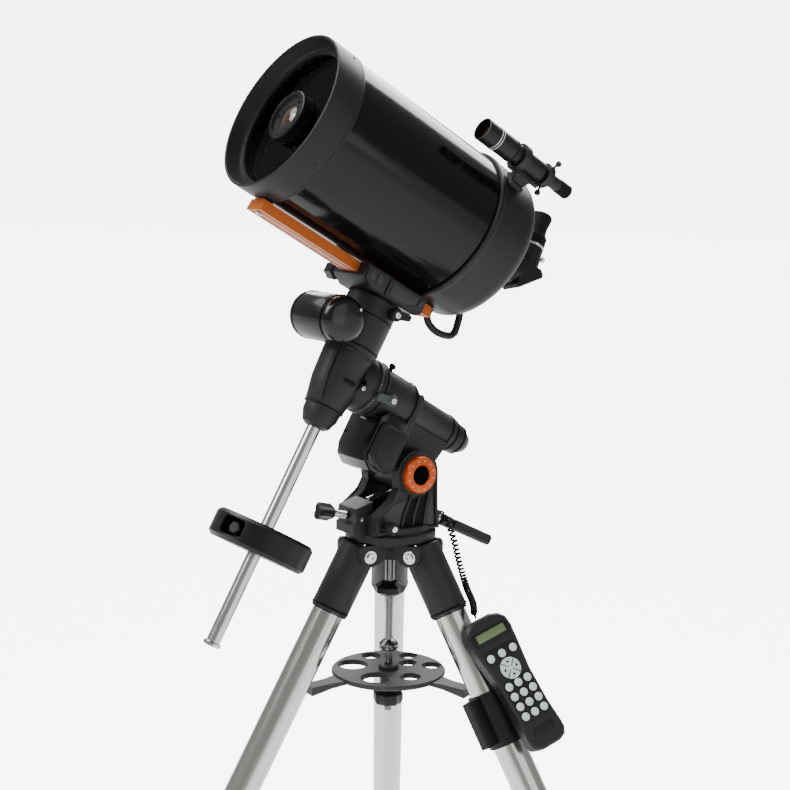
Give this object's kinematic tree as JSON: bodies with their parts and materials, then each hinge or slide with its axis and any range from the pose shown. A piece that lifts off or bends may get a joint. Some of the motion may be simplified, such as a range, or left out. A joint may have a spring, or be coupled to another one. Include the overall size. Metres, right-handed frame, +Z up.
{
  "type": "schmidt cassegrain telescope",
  "caption": "Catadioptric telescope tube with finder and diagonal on a motorised German equatorial mount and braced tripod with a hand controller.",
  "frame": {"origin": "centre of the bounding box's base, on the floor under the feet", "axes": "+Z up; the polar axis of the mount rises towards -X in the X-Z plane; the motor controls and the finder face -Y"},
  "size_m": [0.7979, 0.8652, 1.4793],
  "materials": {
    "cast_satin_black": "satin textured black paint",
    "tube_gloss_black": "gloss black paint",
    "cell_charcoal": "satin charcoal paint",
    "plastic_black": "moulded, satin",
    "cover_gloss_black": "moulded, gloss",
    "plastic_dark_grey": "moulded, fine texture",
    "rubber_black": "matt",
    "keys_pale_grey": "silicone, matt",
    "anodised_orange": "orange anodised, brushed",
    "leg_steel": "polished stainless",
    "chrome": "polished",
    "tray_grey": "satin grey paint",
    "corrector_glass": "coated, clear",
    "weight_black": "satin black enamel",
    "mirror": "polished"
  },
  "bodies": {
    "tripod": {"tripod_head": "cast_satin_black", "centre_rod": "chrome", "handset_bracket": "plastic_black", "handset_cord": "plastic_black", "leg_socket_left": "cast_satin_black", "leg_tube_left": "leg_steel", "leg_collar_left": "plastic_black", "leg_socket_rear": "cast_satin_black", "leg_tube_rear": "leg_steel", "leg_collar_rear": "plastic_black", "leg_socket_right": "cast_satin_black", "leg_tube_right": "leg_steel", "leg_collar_right": "plastic_black"},
    "extension_left": {"leg_extension_left": "leg_steel"},
    "leg_knob_left": {"leg_knob_left": "plastic_black"},
    "extension_rear": {"leg_extension_rear": "leg_steel"},
    "leg_knob_rear": {"leg_knob_rear": "plastic_black"},
    "extension_right": {"leg_extension_right": "leg_steel"},
    "leg_knob_right": {"leg_knob_right": "plastic_black"},
    "accessory_tray": {"accessory_tray": "tray_grey"},
    "tray_knob": {"tray_knob": "plastic_black"},
    "mount_lock_knob": {"mount_lock_knob": "plastic_black"},
    "mount_base": {"mount_base": "cast_satin_black", "altitude_cap_near": "anodised_orange", "altitude_cap_far": "anodised_orange"},
    "azimuth_knob_near": {"azimuth_knob_near": "plastic_black"},
    "azimuth_knob_far": {"azimuth_knob_far": "plastic_black"},
    "altitude_screw_front": {"altitude_screw_front": "plastic_black"},
    "altitude_screw_rear": {"altitude_screw_rear": "plastic_black"},
    "polar_housing": {"ra_housing": "cast_satin_black", "ra_motor_cover": "cover_gloss_black", "ra_side_cover": "plastic_dark_grey"},
    "polar_scope_cap": {"polar_scope_cap": "plastic_black"},
    "ra_lock_lever": {"ra_lock_lever": "plastic_dark_grey"},
    "declination_head": {"dec_housing": "cast_satin_black", "dec_motor_cover": "cover_gloss_black", "counterweight_shaft": "chrome"},
    "counterweight": {"counterweight": "weight_black"},
    "counterweight_knob": {"counterweight_knob": "plastic_black"},
    "shaft_end_stop": {"shaft_end_stop": "chrome"},
    "dec_lock_lever": {"dec_lock_lever": "plastic_black"},
    "saddle": {"saddle": "cast_satin_black"},
    "saddle_knob_front": {"saddle_knob_front": "plastic_black"},
    "saddle_knob_rear": {"saddle_knob_rear": "plastic_black"},
    "optical_tube": {"dovetail_bar": "anodised_orange", "front_cell": "cell_charcoal", "optical_tube": "tube_gloss_black", "corrector_plate": "corrector_glass", "secondary_mirror": "plastic_black", "rear_cell": "cell_charcoal", "carry_handle": "plastic_black", "finder_bracket": "cast_satin_black", "finder_scope": "plastic_black"},
    "primary_mirror": {"primary_mirror": "mirror"},
    "focus_knob": {"focus_knob": "rubber_black"},
    "star_diagonal": {"star_diagonal": "plastic_black"},
    "eyepiece": {"eyepiece": "rubber_black"},
    "handset": {"handset": "plastic_dark_grey", "keypad": "keys_pale_grey"},
    "direction_pad": {"direction_pad": "keys_pale_grey"}
  },
  "joints": [
    {"name": "leg_extend_left", "type": "slide", "parent": "tripod", "child": "extension_left", "axis": [-0.4864, 0.0374, -0.8729], "range_m": [0, 0.38]},
    {"name": "leg_clamp_left", "type": "hinge", "parent": "tripod", "child": "leg_knob_left", "pos_m": [-0.36421, 0.05396, 0.1029], "axis": [-0.8703, 0.067, 0.4879], "continuous": true},
    {"name": "leg_extend_rear", "type": "slide", "parent": "tripod", "child": "extension_rear", "axis": [0.2756, 0.4025, -0.8729], "range_m": [0, 0.38]},
    {"name": "leg_clamp_rear", "type": "hinge", "parent": "tripod", "child": "leg_knob_rear", "pos_m": [0.3599, 0.4009, 0.1029], "axis": [0.4932, 0.7203, 0.4879], "continuous": true},
    {"name": "leg_extend_right", "type": "slide", "parent": "tripod", "child": "extension_right", "axis": [0.2108, -0.44, -0.8729], "range_m": [0, 0.38]},
    {"name": "leg_clamp_right", "type": "hinge", "parent": "tripod", "child": "leg_knob_right", "pos_m": [0.2983, -0.39967, 0.1029], "axis": [0.3772, -0.7872, 0.4879], "continuous": true},
    {"name": "tray_slide", "type": "slide", "parent": "tripod", "child": "accessory_tray", "axis": [0, 0, 1], "range_m": [-0.02, 0]},
    {"name": "tray_knob_turn", "type": "hinge", "parent": "accessory_tray", "child": "tray_knob", "pos_m": [0.098, 0.0184, 0.535], "axis": [0, 0, 1], "continuous": true},
    {"name": "mount_lock_turn", "type": "hinge", "parent": "tripod", "child": "mount_lock_knob", "pos_m": [0.098, 0.0184, 0.698], "axis": [0, 0, 1], "continuous": true},
    {"name": "azimuth", "type": "hinge", "parent": "tripod", "child": "mount_base", "pos_m": [0.098, 0.0184, 0.775], "axis": [0, 0, 1], "range_deg": [-7, 7]},
    {"name": "azimuth_knob_turn_near", "type": "hinge", "parent": "mount_base", "child": "azimuth_knob_near", "pos_m": [0.058, -0.028, 0.803], "axis": [0, -1, 0], "continuous": true},
    {"name": "azimuth_knob_turn_far", "type": "hinge", "parent": "mount_base", "child": "azimuth_knob_far", "pos_m": [0.058, 0.0648, 0.803], "axis": [0, 1, 0], "continuous": true},
    {"name": "altitude_screw_turn_front", "type": "hinge", "parent": "mount_base", "child": "altitude_screw_front", "pos_m": [0.022, 0.0184, 0.815], "axis": [-0.9743, 0, 0.2251], "continuous": true},
    {"name": "altitude_screw_turn_rear", "type": "hinge", "parent": "mount_base", "child": "altitude_screw_rear", "pos_m": [0.164, 0.0184, 0.801], "axis": [0.9, 0, -0.436], "continuous": true},
    {"name": "altitude", "type": "hinge", "parent": "mount_base", "child": "polar_housing", "pos_m": [0.111, 0.0184, 0.873], "axis": [0, 1, 0], "range_deg": [-12, 12]},
    {"name": "polar_cap_pull", "type": "slide", "parent": "polar_housing", "child": "polar_scope_cap", "axis": [0.8721, 0, -0.4894], "range_m": [0, 0.04]},
    {"name": "ra_clutch", "type": "hinge", "parent": "polar_housing", "child": "ra_lock_lever", "pos_m": [0.06624, -0.0206, 0.982], "axis": [0, -1, 0], "range_deg": [-35, 35]},
    {"name": "right_ascension", "type": "hinge", "parent": "polar_housing", "child": "declination_head", "pos_m": [0.009, 0.0184, 1.021], "axis": [-0.8721, 0, 0.4894], "range_deg": [-110, 110]},
    {"name": "counterweight_slide", "type": "slide", "parent": "declination_head", "child": "counterweight", "axis": [0.4894, 0, 0.8721], "range_m": [-0.11, 0.03]},
    {"name": "counterweight_lock", "type": "hinge", "parent": "counterweight", "child": "counterweight_knob", "pos_m": [-0.15439, 0.00318, 0.81529], "axis": [-0.8195, -0.342, 0.4599], "continuous": true},
    {"name": "end_stop_turn", "type": "hinge", "parent": "declination_head", "child": "shaft_end_stop", "pos_m": [-0.19311, 0.0184, 0.66084], "axis": [0.4894, 0, 0.8721], "continuous": true},
    {"name": "dec_clutch", "type": "hinge", "parent": "declination_head", "child": "dec_lock_lever", "pos_m": [0.07064, -0.0206, 1.10223], "axis": [0, -1, 0], "range_deg": [-10, 35]},
    {"name": "declination", "type": "hinge", "parent": "declination_head", "child": "saddle", "pos_m": [0.06547, 0.0184, 1.12164], "axis": [0.4894, 0, 0.8721], "continuous": true},
    {"name": "saddle_clamp_front", "type": "hinge", "parent": "saddle", "child": "saddle_knob_front", "pos_m": [0.04193, 0.0574, 1.15733], "axis": [0, 1, 0], "continuous": true},
    {"name": "saddle_clamp_rear", "type": "hinge", "parent": "saddle", "child": "saddle_knob_rear", "pos_m": [0.10821, 0.0574, 1.12013], "axis": [0, 1, 0], "continuous": true},
    {"name": "balance_slide", "type": "slide", "parent": "saddle", "child": "optical_tube", "axis": [-0.8721, 0, 0.4894], "range_m": [-0.03, 0.03]},
    {"name": "mirror_focus", "type": "slide", "parent": "optical_tube", "child": "primary_mirror", "axis": [-0.8721, 0, 0.4894], "range_m": [-0.00299, 0.00299]},
    {"name": "focus_turn", "type": "hinge", "parent": "optical_tube", "child": "focus_knob", "pos_m": [0.23958, 0.0734, 1.1597], "axis": [-0.8721, 0, 0.4894], "range_deg": [-1440, 1440]},
    {"name": "diagonal_turn", "type": "hinge", "parent": "optical_tube", "child": "star_diagonal", "pos_m": [0.27763, 0.0184, 1.17275], "axis": [-0.8721, 0, 0.4894], "continuous": true},
    {"name": "eyepiece_pull", "type": "slide", "parent": "star_diagonal", "child": "eyepiece", "axis": [0.4787, 0.2079, 0.853], "range_m": [0, 0.03]},
    {"name": "handset_pull", "type": "slide", "parent": "tripod", "child": "handset", "axis": [-0.2573, -0.8385, 0.4803], "range_m": [0, 0.06]},
    {"name": "direction_pad_press", "type": "slide", "parent": "handset", "child": "direction_pad", "axis": [-0.2573, -0.8385, 0.4803], "range_m": [-0.0008, 0], "stiffness_N_per_m": 400, "springref_m": 0.0015}
  ],
  "couplings": [
    {"joint": "focus_turn", "follows": "mirror_focus", "rad_per_m": 8377.6}
  ]
}
